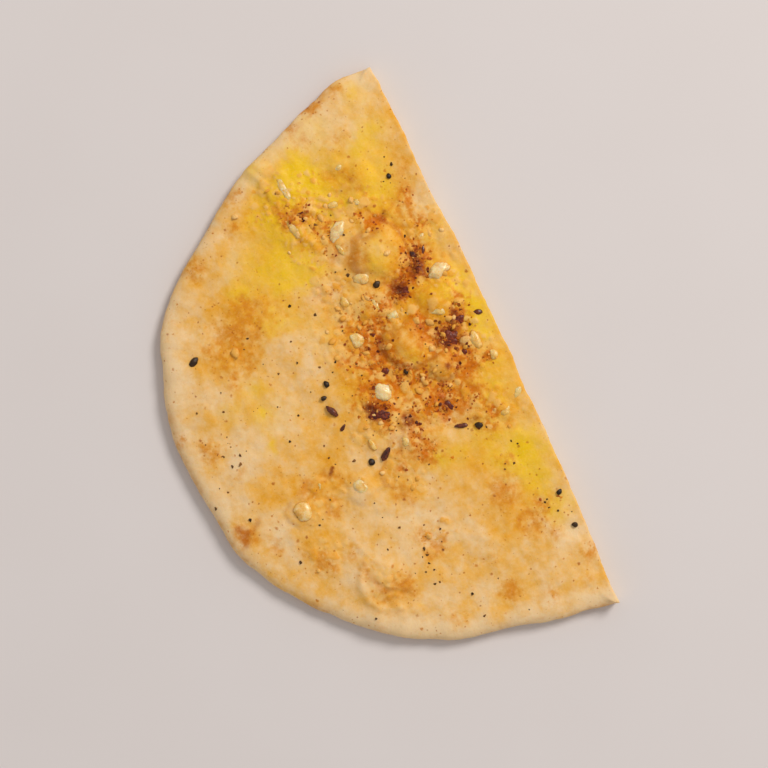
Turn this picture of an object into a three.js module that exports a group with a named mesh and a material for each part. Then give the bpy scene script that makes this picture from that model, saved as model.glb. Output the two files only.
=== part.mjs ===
// Half of a round, thin naan, cut straight across, with garlic, seeds and chilli baked onto the top.
// Units are millimetres, +Z is up. +X runs along the cut, +Y from the cut to the round crust.
// The origin is under the middle of the half, on the surface that it lies on.
import * as THREE from "three";
import { mergeVertices } from "three/addons/utils/BufferGeometryUtils.js";

// The whole naan, of which this is one half
const halfAcross = 90; // from the middle of the cut to either tip
const halfDeep = 102; // from the cut to the far crust
const thickMiddle = 8;
const thickRim = 5.6;
const rimFalloff = 4; // power by which the thickness holds up towards the rim
const cutBow = 1.6; // how far the cut runs past a straight line, at its middle

// The crust's rounded side: how far it leans in at each share of the height
const rimProfile = [
  { share: 1, inset: 3.4 },
  { share: 0.92, inset: 1.5 },
  { share: 0.68, inset: 0.3 },
  { share: 0.42, inset: 0 },
  { share: 0.18, inset: 0.5 },
  { share: 0, inset: 1.9 },
];
const tipBlend = 7; // over this distance the upright cut turns into the rounded crust

// Mesh density
const crustSteps = 72;
const cutSteps = 40;
const topRings = 16;
const ringCrowding = 1.15; // above 1 the rings stand closer together near the rim
const fanCentreY = 43; // the point that the rings close in on

// The crust from one tip to the other, a little uneven as hand-shaped dough is
const crustPoints = [
  [90, 0],
  [91, 7],
  [88, 20],
  [84, 32],
  [77, 49],
  [68, 63],
  [57, 79],
  [49, 88],
  [41, 93.5],
  [28, 98],
  [15, 101.5],
  [0, 102],
  [-12, 101],
  [-25, 99.5],
  [-34, 96],
  [-44, 90.5],
  [-54, 83],
  [-64, 73],
  [-72, 62.5],
  [-79, 48],
  [-83, 31],
  [-86.5, 16],
  [-89, 0],
];

// Air bubbles under the top skin: place, radius and rise
const bubbles = [
  { x: 39, y: 21, radius: 12, rise: 2.2 },
  { x: 8.5, y: 27.5, radius: 11, rise: 1.9 },
  { x: -0.5, y: 18.5, radius: 10, rise: 1.6 },
  { x: 61, y: 17, radius: 11, rise: 1.1 },
  { x: 18.5, y: 12, radius: 12, rise: 1.2 },
  { x: 60, y: 43, radius: 13, rise: 1.0 },
  { x: -10, y: 43, radius: 12, rise: 1.1 },
  { x: -24, y: 75, radius: 7, rise: 1.0 },
  { x: -24, y: 55, radius: 8, rise: 0.9 },
  { x: -53, y: 63, radius: 11, rise: 0.8 },
  { x: -22, y: 14, radius: 11, rise: 0.9 },
  { x: 35, y: 62, radius: 16, rise: 0.6 },
];

// Slow waves of the top skin, in radians per millimetre along X and Y
const ripples = [
  { alongX: 0.11, alongY: 0.09, phase: 0.6, rise: 0.14 },
  { alongX: 0.11, alongY: -0.09, phase: 0.6, rise: 0.14 },
  { alongX: -0.07, alongY: 0.17, phase: 0, rise: 0.2 },
];

// Chopped garlic: place, length, width, and the way the length points in degrees
const garlicPieces = [
  { x: 49, y: 30, length: 8, width: 4.6, turn: -50 },
  { x: 25, y: 7.5, length: 7.6, width: 5, turn: -80 },
  { x: -1, y: 38, length: 5.8, width: 5.4, turn: 30 },
  { x: -23.5, y: 75, length: 6.6, width: 6, turn: 0 },
  { x: -24, y: 56, length: 6, width: 4.8, turn: 30 },
  { x: 43.5, y: 31.5, length: 4.6, width: 2, turn: 10 },
  { x: 33, y: 29.5, length: 5.2, width: 4.2, turn: 90 },
  { x: 28.5, y: 37, length: 4, width: 3, turn: 15 },
  { x: 24.5, y: 29, length: 7, width: 2.6, turn: 0 },
  { x: 18.5, y: 25.5, length: 4.4, width: 3.4, turn: 70 },
  { x: 17.5, y: 21, length: 2.4, width: 2.2, turn: 0 },
  { x: 14.5, y: 12.5, length: 5.2, width: 3.6, turn: 65 },
  { x: 37, y: 7.5, length: 3.2, width: 2.2, turn: -65 },
  { x: 58.5, y: 35.5, length: 3.6, width: 2.4, turn: 55 },
  { x: 66, y: 21.5, length: 2.6, width: 2, turn: 85 },
  { x: 56.5, y: 28, length: 3.6, width: 2.4, turn: 80 },
  { x: 54.5, y: 21, length: 3.2, width: 2.4, turn: 60 },
  { x: 16.5, y: 38.5, length: 5, width: 4.6, turn: 0 },
  { x: -14, y: 47.5, length: 4, width: 1.8, turn: 10 },
  { x: -17, y: 38, length: 3.2, width: 2.8, turn: 0 },
  { x: 1.5, y: 6, length: 6, width: 3.4, turn: 5 },
  { x: -4.5, y: 3, length: 3.4, width: 2.8, turn: 0 },
  { x: -18, y: 1.5, length: 4.8, width: 2.4, turn: -55 },
  { x: -21.5, y: 7, length: 4.2, width: 3, turn: -65 },
  { x: -18.5, y: 67.5, length: 3.4, width: 2, turn: -20 },
  { x: 67.5, y: 39.5, length: 9, width: 3, turn: 7 },
  { x: 53.5, y: 41, length: 10, width: 3.4, turn: 19 },
  { x: 47.5, y: 22, length: 3.4, width: 2.4, turn: -35 },
];

const blackSeeds = [
  { x: 31.5, y: 86, length: 3.8, width: 2.5, turn: -67 },
  { x: 57.5, y: 9, length: 1.9, width: 1.6, turn: 0 },
  { x: 29.5, y: 26, length: 2.7, width: 2.2, turn: -70 },
  { x: 5, y: 55, length: 2.2, width: 1.6, turn: -90 },
  { x: -18.5, y: 50, length: 2.4, width: 2.2, turn: 0 },
  { x: -22, y: 16, length: 2.7, width: 2.1, turn: 60 },
  { x: -50.5, y: 2.5, length: 2.1, width: 1.7, turn: -60 },
  { x: -61.5, y: 2.5, length: 2.1, width: 1.8, turn: 60 },
  { x: 2, y: 29, length: 2.1, width: 1.8, turn: 0 },
  { x: 8.5, y: 52.5, length: 2.4, width: 1.9, turn: 10 },
];

const brownSeeds = [
  { x: 0.5, y: 54.5, length: 5, width: 2.3, turn: 25 },
  { x: -18, y: 45, length: 5.2, width: 2.2, turn: -53 },
  { x: -20, y: 21, length: 4.7, width: 1.6, turn: 73 },
  { x: -5.5, y: 53.5, length: 3, width: 1.3, turn: -55 },
  { x: 33, y: 12.5, length: 2.8, width: 1.8, turn: 20 },
  { x: 33, y: 9, length: 2.8, width: 1.2, turn: -25 },
  { x: 37.5, y: 27.5, length: 2.4, width: 1.8, turn: 15 },
  { x: 9, y: 2, length: 3, width: 1.8, turn: 65 },
  { x: -9.5, y: 12, length: 2.8, width: 1.1, turn: -85 },
];

const chilliFlakes = [
  { x: 24, y: 19, length: 6.2, width: 4.2, turn: 60 },
  { x: 26, y: 14, length: 4, width: 2.4, turn: -45 },
  { x: 5.5, y: 13, length: 5.4, width: 5, turn: 60 },
  { x: 9.5, y: 8, length: 3.8, width: 2.6, turn: -50 },
  { x: -6.5, y: 42, length: 6.6, width: 4.4, turn: 65 },
  { x: -9, y: 33.5, length: 3, width: 2.2, turn: -45 },
  { x: -13, y: 35, length: 4.2, width: 3.2, turn: 65 },
  { x: 13, y: 33, length: 4.8, width: 1.8, turn: 55 },
  { x: 4.5, y: 34.5, length: 2.4, width: 2.2, turn: 0 },
  { x: -4.5, y: 17, length: 2.7, width: 2.3, turn: 60 },
  { x: -0.5, y: 10.5, length: 2.8, width: 1.9, turn: 40 },
  { x: -12.5, y: 22, length: 5, width: 2.8, turn: 30 },
];

const toppingGap = 0.35; // clear of the dough, which the mesh's facets follow a little unevenly
const probeStep = 0.5; // over which the slope of the top is measured

const breadMaterial = new THREE.MeshStandardMaterial({ color: 0xe3b06e, roughness: 0.8 });
const garlicMaterial = new THREE.MeshStandardMaterial({ color: 0xf0d79a, roughness: 0.45 });
const blackSeedMaterial = new THREE.MeshStandardMaterial({ color: 0x1c1714, roughness: 0.6 });
const brownSeedMaterial = new THREE.MeshStandardMaterial({ color: 0x4a2414, roughness: 0.35 });
const chilliMaterial = new THREE.MeshStandardMaterial({ color: 0x5a1f12, roughness: 0.4 });

function smoothStep(value) {
  const t = THREE.MathUtils.clamp(value, 0, 1);
  return t * t * (3 - 2 * t);
}

// Height of the top skin over the surface below: the naan thins from its middle to its crust,
// with a slow waviness and the bubbles on top of that.
function topHeight(x, y) {
  const reach = Math.hypot(x / halfAcross, y / halfDeep);
  const plain = thickRim + (thickMiddle - thickRim) * (1 - Math.min(reach, 1) ** rimFalloff);
  const rippled = ripples.reduce(
    (sum, { alongX, alongY, phase, rise }) => sum + rise * Math.sin(alongX * x + alongY * y + phase),
    plain,
  );
  return bubbles.reduce((sum, bubble) => {
    const away = Math.hypot(x - bubble.x, y - bubble.y) / bubble.radius;
    return sum + bubble.rise * smoothStep(1 - away);
  }, rippled);
}

// The closed outline as points with a share of crust: 0 on the cut, 1 on the crust
function makeOutline() {
  const crust = new THREE.CatmullRomCurve3(
    crustPoints.map(([x, y]) => new THREE.Vector3(x, y, 0)),
    false,
    "centripetal",
  );
  const crustLength = crust.getLength();
  const outline = crust.getSpacedPoints(crustSteps).map((point, i) => {
    const along = (i / crustSteps) * crustLength;
    const fromTip = Math.min(along, crustLength - along);
    return { x: point.x, y: point.y, crust: smoothStep(fromTip / tipBlend) };
  });
  const start = crustPoints.at(-1);
  const end = crustPoints[0];
  for (let i = 1; i < cutSteps; i++) {
    const t = i / cutSteps;
    const x = THREE.MathUtils.lerp(start[0], end[0], t);
    const y = THREE.MathUtils.lerp(start[1], end[1], t) - cutBow * Math.sin(Math.PI * t);
    outline.push({ x, y, crust: 0 });
  }
  return outline;
}

// Unit normals of the outline, pointing inwards
function inwardNormals(outline) {
  return outline.map((point, i) => {
    const before = outline.at(i - 1);
    const after = outline[(i + 1) % outline.length];
    return new THREE.Vector2(before.y - after.y, after.x - before.x).normalize();
  });
}

// One closed body: rings of the outline's own points, from the middle of the top out to the rim,
// down the side, and a flat fan underneath.
function makeBread() {
  const outline = makeOutline();
  const inward = inwardNormals(outline);
  const middle = new THREE.Vector2(0, fanCentreY);
  const positions = [middle.x, middle.y, topHeight(middle.x, middle.y)];

  const insetPoint = (i, inset) => {
    const point = outline[i];
    const lean = inset * point.crust;
    return new THREE.Vector2(point.x + inward[i].x * lean, point.y + inward[i].y * lean);
  };
  for (let ring = 1; ring <= topRings; ring++) {
    const reach = 1 - (1 - ring / topRings) ** ringCrowding;
    outline.forEach((_, i) => {
      const edge = insetPoint(i, rimProfile[0].inset);
      const at = middle.clone().lerp(edge, reach);
      positions.push(at.x, at.y, topHeight(at.x, at.y));
    });
  }
  rimProfile.slice(1).forEach(({ share, inset }) => {
    outline.forEach((_, i) => {
      const edge = insetPoint(i, rimProfile[0].inset);
      const at = insetPoint(i, inset);
      positions.push(at.x, at.y, share * topHeight(edge.x, edge.y));
    });
  });
  const under = positions.length / 3;
  positions.push(middle.x, middle.y, 0);

  const count = outline.length;
  const rings = topRings + rimProfile.length - 1;
  const index = [];
  for (let i = 0; i < count; i++) {
    const next = (i + 1) % count;
    index.push(0, 1 + i, 1 + next);
    for (let ring = 0; ring < rings - 1; ring++) {
      const inner = 1 + ring * count;
      const outer = inner + count;
      index.push(inner + i, outer + i, outer + next);
      index.push(inner + i, outer + next, inner + next);
    }
    const last = 1 + (rings - 1) * count;
    index.push(under, last + next, last + i);
  }
  const geometry = new THREE.BufferGeometry();
  geometry.setAttribute("position", new THREE.Float32BufferAttribute(positions, 3));
  geometry.setIndex(index);
  geometry.computeVertexNormals();
  const bread = new THREE.Mesh(geometry, breadMaterial);
  bread.name = "naan_half";
  return bread;
}

// A small closed lump along X with a flat foot. The waves make it uneven, and a taper
// draws in its +X end.
function lumpGeometry({ length, width, height, foot, taper = 0, waves = 0, seed = 0 }) {
  const ball = new THREE.IcosahedronGeometry(1, 1);
  ball.deleteAttribute("normal");
  ball.deleteAttribute("uv");
  const geometry = mergeVertices(ball);
  const position = geometry.getAttribute("position");
  const at = new THREE.Vector3();
  for (let i = 0; i < position.count; i++) {
    at.fromBufferAttribute(position, i);
    const swell = 1 + waves * Math.sin(4 * at.x + seed) * Math.cos(3 * at.y - 2 * seed + at.z);
    const slim = 1 - taper * smoothStep((at.x + 0.2) / 1.2);
    at.set(
      (at.x * swell * length) / 2,
      (at.y * swell * slim * width) / 2,
      (Math.max(at.z, -foot) * slim * height) / 2,
    );
    position.setXYZ(i, at.x, at.y, at.z);
  }
  geometry.computeVertexNormals();
  geometry.computeBoundingBox();
  return geometry;
}

// Lays a piece on the dough, square to the slope there and just clear of it
function layOnTop(mesh, { x, y, length, turn }) {
  const slopeX = (topHeight(x + probeStep, y) - topHeight(x - probeStep, y)) / (2 * probeStep);
  const slopeY = (topHeight(x, y + probeStep) - topHeight(x, y - probeStep)) / (2 * probeStep);
  const up = new THREE.Vector3(-slopeX, -slopeY, 1).normalize();
  let bump = 0;
  for (let angle = 0; angle < 2 * Math.PI; angle += Math.PI / 6) {
    const dx = 0.5 * length * Math.cos(angle);
    const dy = 0.5 * length * Math.sin(angle);
    const flat = topHeight(x, y) + slopeX * dx + slopeY * dy;
    bump = Math.max(bump, topHeight(x + dx, y + dy) - flat);
  }
  const lift = toppingGap + bump - mesh.geometry.boundingBox.min.z;
  mesh.position.set(x, y, topHeight(x, y)).addScaledVector(up, lift);
  mesh.quaternion.setFromUnitVectors(new THREE.Vector3(0, 0, 1), up);
  mesh.rotateZ(THREE.MathUtils.degToRad(turn));
}

function addToppings(group, name, pieces, material, shape) {
  pieces.forEach((piece, i) => {
    const mesh = new THREE.Mesh(lumpGeometry({ ...piece, ...shape(piece, i) }), material);
    mesh.name = `${name}_${String(i + 1).padStart(2, "0")}`;
    layOnTop(mesh, piece);
    group.add(mesh);
  });
}

const garlicShape = (piece, i) => ({ height: 0.9 + 0.42 * piece.width, foot: 0.5, waves: 0.13, seed: i });
const blackSeedShape = (piece) => ({ height: 0.8 * piece.width, foot: 0.6, taper: 0.35 });
const brownSeedShape = (piece) => ({ height: 0.8 * piece.width, foot: 0.6, taper: 0.45 });
const chilliShape = (piece, i) => ({ height: 0.5 + 0.3 * piece.width, foot: 0.5, waves: 0.24, seed: 2 * i });

const naan = new THREE.Group();
const bread = makeBread();
naan.add(bread);
addToppings(naan, "garlic_piece", garlicPieces, garlicMaterial, garlicShape);
addToppings(naan, "black_seed", blackSeeds, blackSeedMaterial, blackSeedShape);
addToppings(naan, "brown_seed", brownSeeds, brownSeedMaterial, brownSeedShape);
addToppings(naan, "chilli_flake", chilliFlakes, chilliMaterial, chilliShape);

// Bring the middle of the half over the origin
bread.geometry.computeBoundingBox();
const centre = bread.geometry.boundingBox.getCenter(new THREE.Vector3());
naan.position.set(-centre.x, -centre.y, 0);

export default naan;
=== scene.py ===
import math

import bmesh
import bpy
import numpy as np
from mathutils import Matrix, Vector
from mathutils.bvhtree import BVHTree
from mathutils.geometry import delaunay_2d_cdt
from mathutils.kdtree import KDTree


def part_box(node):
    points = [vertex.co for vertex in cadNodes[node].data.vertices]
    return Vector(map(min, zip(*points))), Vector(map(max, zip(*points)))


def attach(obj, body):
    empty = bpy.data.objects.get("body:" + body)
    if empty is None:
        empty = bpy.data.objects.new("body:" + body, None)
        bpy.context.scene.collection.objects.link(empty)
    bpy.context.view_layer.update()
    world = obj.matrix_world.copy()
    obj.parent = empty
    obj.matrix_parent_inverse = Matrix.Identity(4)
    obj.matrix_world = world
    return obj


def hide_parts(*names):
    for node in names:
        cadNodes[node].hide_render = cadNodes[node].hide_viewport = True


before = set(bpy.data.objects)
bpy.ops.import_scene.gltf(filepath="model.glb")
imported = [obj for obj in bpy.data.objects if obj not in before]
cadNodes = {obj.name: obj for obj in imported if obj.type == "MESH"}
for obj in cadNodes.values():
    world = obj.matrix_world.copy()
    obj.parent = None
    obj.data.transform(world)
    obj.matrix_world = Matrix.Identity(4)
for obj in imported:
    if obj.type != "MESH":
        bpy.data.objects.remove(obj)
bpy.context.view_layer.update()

# Lengths in this file are millimetres, and toMetres brings them to Blender's unit.
scene = bpy.context.scene
toMetres = 0.001
overhead = 60  # higher than anything on the bread, where rays start down from
toppingGap = 0.35  # how far clear of the bread the solid toppings lie
breadNode = "naan_half"


def rippleNoise(points, size, seed):
    # smooth lumps of about the given size, from -1 to 1
    at = np.asarray(points, float) / size
    if at.shape[1] == 2:
        at = np.column_stack((at, np.full(len(at), 0.37)))
    dice = np.random.RandomState(seed)
    order = np.tile(dice.permutation(256), 2)
    slopes = dice.normal(size=(256, 3))
    slopes /= np.linalg.norm(slopes, axis=1)[:, None]
    cell = np.floor(at).astype(int)
    part = at - cell
    ease = part ** 3 * (part * (part * 6 - 15) + 10)
    total = np.zeros(len(at))
    for corner in np.ndindex(2, 2, 2):
        x, y, z = ((cell + corner) & 255).T
        pick = order[(order[(order[x] + y) & 255] + z) & 255]
        weight = np.prod(np.where(corner, ease, 1 - ease), axis=1)
        total += weight * np.sum(slopes[pick] * (part - corner), axis=1)
    return total * 1.6


def wander(points, size, seed):
    # a smooth sideways drift of about one millimetre
    at = points[:, :2]
    return np.column_stack((rippleNoise(at, size, seed), rippleNoise(at, size, seed + 1)))


def easeBetween(value, low, high):
    t = np.clip((value - low) / (high - low), 0, 1)
    return t * t * (3 - 2 * t)


def spotField(points, spots, warp=1.6, seed=3):
    # soft-edged spots (x, y, radius, strength), with wandering edges
    at = points[:, :2] + warp * (wander(points, 6, seed) + 0.5 * wander(points, 2.4, seed + 2))
    clear = np.ones(len(at))
    for x, y, radius, strength in spots:
        away = np.hypot(at[:, 0] - x, at[:, 1] - y) / radius
        clear *= 1 - strength * np.exp(-1.3 * away ** 2)
    return 1 - clear


def lineDistance(points, line):
    # distance of each point to an open line of (x, y) places
    best = np.full(len(points), 1e9)
    for start, end in zip(line[:-1], line[1:]):
        a = np.array(start, float)
        run = np.array(end, float) - a
        t = np.clip(((points[:, :2] - a) @ run) / (run @ run), 0, 1)
        gap = points[:, :2] - a - t[:, None] * run
        best = np.minimum(best, np.hypot(gap[:, 0], gap[:, 1]))
    return best


def evenLine(line, step):
    # the same line in even steps, both ends kept
    reach = np.concatenate(([0], np.cumsum(np.hypot(*np.diff(line, axis=0).T))))
    count = int(round(reach[-1] / step)) + 1
    at = np.linspace(0, reach[-1], count)
    return np.column_stack((np.interp(at, reach, line[:, 0]), np.interp(at, reach, line[:, 1])))


def smoothLine(line, width):
    # takes the small corners out of a line without moving its ends
    span = int(3 * width)
    kernel = np.exp(-0.5 * (np.arange(-span, span + 1) / width) ** 2)
    kernel /= kernel.sum()
    chord = np.linspace(0, 1, len(line))[:, None] * (line[-1] - line[0]) + line[0]
    rest = line - chord
    padded = np.vstack((-rest[span:0:-1], rest, -rest[-2:-span - 2:-1]))
    smooth = np.column_stack([np.convolve(padded[:, k], kernel, mode="valid") for k in (0, 1)])
    return smooth + chord


def ripples(points, waves):
    # noises of several sizes on top of each other: size, amount, seed
    return sum(amount * rippleNoise(points, size, seed) for size, amount, seed in waves)


def distancesTo(line, places):
    # how far each place is from the nearest point of a closely set line
    tree = KDTree(len(line))
    for k, (x, y) in enumerate(line):
        tree.insert((x, y, 0), k)
    tree.balance()
    return np.array([tree.find((x, y, 0))[2] for x, y in places[:, :2]])


def newPiece(name, mesh):
    piece = bpy.data.objects.new(name, mesh)
    scene.collection.objects.link(piece)
    return piece


def floatLayer(mesh, name, values):
    layer = mesh.attributes.new(name, "FLOAT", "POINT")
    layer.data.foreach_set("value", np.asarray(values, np.float32))


def paint(code):
    # a colour written as rrggbb, in linear light
    parts = [int(code[i:i + 2], 16) / 255 for i in (0, 2, 4)]
    return tuple(c / 12.92 if c <= 0.04045 else ((c + 0.055) / 1.055) ** 2.4 for c in parts) + (1.0,)


def meshPlaces(mesh):
    # the mesh's points in millimetres
    at = np.zeros(len(mesh.vertices) * 3)
    mesh.vertices.foreach_get("co", at)
    return at.reshape(-1, 3) / toMetres


def ridingPiece(piece, node=None):
    # every piece rides on the one body, and stands for its own node of the solid model if it has one
    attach(piece, "root")
    if node:
        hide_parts(node)


def newMaterial(name):
    # a material, its tree, and the place on a piece that its patterns follow
    material = bpy.data.materials.new(name)
    material.use_nodes = True
    tree = material.node_tree
    return material, tree, tree.nodes.new("ShaderNodeTexCoord").outputs["Object"]


def plug(tree, socket, value):
    if isinstance(value, bpy.types.NodeSocket):
        tree.links.new(value, socket)
    else:
        socket.default_value = value


def newNode(tree, kind, sockets, **values):
    # a node with its settings, and with what goes into its sockets
    node = tree.nodes.new(kind)
    for name, value in values.items():
        setattr(node, name, value)
    for name, value in sockets.items():
        plug(tree, node.inputs[name], value)
    return node


def coat(tree, sockets):
    # what the shader gets: a constant of its own, or a pattern
    shader = tree.nodes["Principled BSDF"]
    for name, value in sockets.items():
        plug(tree, shader.inputs[name], value)


def mottle(tree, place, size, detail=3.0, rough=0.55, shift=0.0):
    # noise with lumps of the given size in millimetres
    scale = 1 / (size * toMetres)
    sockets = {"Vector": place, "W": shift, "Scale": scale, "Detail": detail, "Roughness": rough}
    return newNode(tree, "ShaderNodeTexNoise", sockets, noise_dimensions="4D").outputs["Fac"]


def shakenPlace(tree, place, size, amount):
    # the same place pushed about by noise, so that round marks turn ragged
    noise = newNode(tree, "ShaderNodeTexNoise", {"Vector": place, "Scale": 1 / (size * toMetres)})
    sockets = {0: noise.outputs["Color"], 1: (amount * toMetres,) * 3, 2: place}
    return newNode(tree, "ShaderNodeVectorMath", sockets, operation="MULTIPLY_ADD").outputs[0]


def cells(tree, place, size):
    # a pavement of cells: the distance to each cell's middle, and a random colour for each
    sockets = {"Vector": place, "Scale": 1 / (size * toMetres)}
    return newNode(tree, "ShaderNodeTexVoronoi", sockets).outputs


def layer(tree, name):
    return newNode(tree, "ShaderNodeAttribute", {}, attribute_name=name).outputs["Fac"]


def maths(tree, operation, first, second=0.0):
    return newNode(tree, "ShaderNodeMath", {0: first, 1: second}, operation=operation).outputs[0]


def addUp(tree, start, *parts):
    # the start with the (value, share) pairs added to it
    for value, share in parts:
        start = maths(tree, "ADD", start, maths(tree, "MULTIPLY", value, share))
    return start


def spread(tree, value, low, high, start=0.0, end=1.0):
    sockets = {"Value": value, "From Min": low, "From Max": high, "To Min": start, "To Max": end}
    return newNode(tree, "ShaderNodeMapRange", sockets, interpolation_type="SMOOTHSTEP").outputs["Result"]


def blendPaint(tree, share, first, second):
    first, second = (paint(c) if isinstance(c, str) else c for c in (first, second))
    node = newNode(tree, "ShaderNodeMix", {"Factor": share, "A": first, "B": second}, data_type="RGBA")
    return next(s for s in node.outputs if s.type == "RGBA")


def toneRamp(tree, value, stops):
    # a run of colours, each at its own value
    node = tree.nodes.new("ShaderNodeValToRGB")
    plug(tree, node.inputs["Fac"], value)
    marks = node.color_ramp.elements
    for mark, (place, tone) in zip((marks[0], marks[1]), (stops[0], stops[-1])):
        mark.position = place
        mark.color = paint(tone)
    for place, tone in stops[1:-1]:
        marks.new(place).color = paint(tone)
    return node.outputs["Color"]


def bumpFrom(tree, height, strength, depth, normal=None):
    sockets = {"Strength": strength, "Distance": depth * toMetres, "Height": height}
    if normal is not None:
        sockets["Normal"] = normal
    return newNode(tree, "ShaderNodeBump", sockets).outputs["Normal"]


bread = {
    "topStep": 0.56,  # spacing of the mesh on the top skin
    "underStep": 1.25,
    "crustStep": 0.7,
    "cutStep": 0.42,
    "sideRings": 21,
    "crustInset": 6.0,  # how far in the rounded crust starts on top
    "underInset": 2.4,
    "bellyShare": 0.44,  # height of the crust's widest line
    "cutBevel": 0.35,
    "tipBlend": 7.0,  # how far from the tips the crust is whole
    "skinMargin": 3.8,  # the solid's top is read this far in from the crust
    "cutMargin": 0.4,
    "skinSmoothing": 2.0,
    "gridCorner": (-94.0, -56.0),  # where the grid of its heights starts
    "gridSize": (113, 189),  # rows and columns, a millimetre apart
    "sheetGap": 0.55,  # shares of the mesh's step: kept free along the edge, and shaken by
    "sheetShake": 0.12,
    "garlicCollar": (0.4, 0.08),  # how high the dough is drawn up round garlic, and the dip beyond
    "crustWaves": [(15, 0.45, 11), (5, 0.16, 12), (1.8, 0.05, 13)],  # size, amount, seed
    "crustSwell": [(11, 0.4, 50), (6, 0.26, 51), (2.6, 0.13, 52), (1.1, 0.045, 53)],
    "cutWaves": [(24, 0.7, 17), (9, 0.3, 14), (3, 0.18, 15), (1.1, 0.09, 16)],
    "skinWaves": [(17, 0.45, 21), (8, 0.36, 22), (3.8, 0.2, 23), (1.9, 0.09, 24), (1.1, 0.04, 25)],
    "crumbLumps": [(3.4, 0.42, 31), (1.7, 0.30, 32)],  # only where the spice lies
    "minced": [(3.6, 0.40, 181), (2.3, 0.34, 182), (1.5, 0.22, 183)],  # lump size, rise, seed
    "underRise": 0.45,
    "pores": 210,  # open cells in the crumb of the cut face
    "cutRetreat": 0.2,
    "tear": [(3.2, 0.16, 60), (1.6, 0.12, 61), (0.8, 0.06, 62)],  # unevenness of the torn crumb
}

# Air blisters: x, y, radius, rise
blisters = [
    (37, -28, 9.0, 2.1), (8.5, -25.5, 8.0, 1.8), (-1.5, -31.5, 5.0, 1.5), (17.5, -38, 6.0, 1.1),
    (60, -33, 6.5, 0.9), (22, -20, 4.0, 0.7), (-12, -24, 5.0, 0.9), (-12, -16, 3.5, 0.8),
    (45, -40, 6.0, 0.5), (-26, -29, 6.0, 0.25), (-24.5, 25.5, 4.6, 0.35), (-26, 5.5, 4.6, 0.35),
    (-55, 11, 7.5, 0.3), (-18, 18, 3.0, 0.25), (-23, 45, 4.5, 0.3), (61, 8, 3.2, 0.3),
    (62, -9.5, 7.0, 0.3), (-75, -14, 5.0, 0.25), (-3, -42, 5.0, 0.3), (57, -3, 4.5, 0.3),
    (-20, -44, 5.0, 0.3), (33, -42, 4.5, 0.3), (70, -27, 5.0, 0.25), (-42, 24, 3.5, 0.3),
    (3.5, 42, 3.5, 0.4), (-39, -38, 4.0, 0.4), (-12, -39, 4.5, 0.5), (26, 25, 5.0, 0.4),
]

# Folds and wrinkles of the skin: the line they follow, half width, rise (below 0 for a crease)
wrinkles = [
    ([(-63, 10), (-61, 16), (-56, 19), (-50, 18), (-46, 15)], 1.4, 0.7),
    ([(-66, 6), (-65, 13), (-61, 19)], 1.6, 0.5),
    ([(-59, 8), (-57, 12), (-53, 14)], 1.1, -0.45),
    ([(-68, 16), (-64, 23), (-57, 27)], 1.8, 0.3),
    ([(-50, 8), (-47, 12), (-42, 14)], 1.2, 0.28),
    ([(27.8, -33), (27, -29), (28, -24.5)], 1.2, -0.35),
    ([(46, -35), (40, -38), (33, -37)], 1.0, -0.45),
    ([(1, -20), (5, -17.5), (10, -17), (15, -19.5)], 1.0, -0.4),
    ([(-5, -27), (-6, -32), (-3.5, -37)], 0.8, -0.4),
    ([(47, -12), (52, -9), (57, -9.5), (60, -13)], 1.2, 0.5),
    ([(58, -12), (57, -17), (54, -21)], 1.1, 0.45),
    ([(66, -6), (70, -5), (73, -8), (71, -12)], 1.2, 0.5),
    ([(-28, -2), (-27, 2), (-29, 6), (-27, 9)], 1.3, 0.28),
    ([(-22, 39), (-23, 43.5), (-27, 45.5)], 1.2, -0.4),
]

# Colour of the skin as spots: x, y, radius, strength
butterSpots = [
    (69.5, -17.5, 5.5, 0.9), (66, -16, 10, 0.65), (60, -13, 7, 0.5), (49, 4, 11, 0.32), (52, 9, 7, 0.1),
    (40, 1, 6, 0.45), (45, -3, 8, 0.6), (58, -2, 7, 0.3), (62, -7, 9, 0.6), (55, -17, 8, 0.6),
    (42, -11, 5, 0.5), (31, 9.5, 5, 0.45), (7, 24, 3.6, 0.5), (-2.5, 24.5, 2.4, 0.5), (5, 20, 9, 0.2),
    (12, 33, 5, 0.3), (-35, -45, 8, 0.85), (-37, -37, 6, 0.55), (-43, -43, 7, 0.45),
    (-16, -43, 8, 0.45), (-28, -22, 6, 0.4), (-24, -17, 5, 0.4), (-27, -34, 8, 0.35), (9, -46, 8, 0.65),
    (20, -41, 7, 0.6), (20, -33, 4, 0.5), (72, -42, 7, 0.45), (66, -38, 6, 0.4), (57, -38, 7, 0.5),
    (84, -43, 6, 0.35), (2, -25, 6, 0.3), (-6, -46, 6, 0.4), (37, -46, 8, 0.35), (80, -26, 8, 0.3),
    (36, -30, 7, 0.3), (0, -3, 6, 0.3), (-50, -44, 6, 0.3), (22, -2, 6, 0.2), (28, -40, 4, 0.4),
    (45, 13, 6, 0.4), (-12, -7, 5, 0.25), (50, -36, 7, 0.35), (68, -30, 7, 0.25), (39, -6, 5, 0.3),
    (5, -46, 7, 0.5), (-56, -45, 6, 0.5), (55, -25, 7, 0.5), (75, -5, 6, 0.4), (20, -46, 7, 0.4),
    (27, -14, 6, 0.3), (5, -27, 6, 0.25), (33, -26, 5, 0.25), (30, 4, 6, 0.3), (15, 23, 6, 0.3),
]
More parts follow.
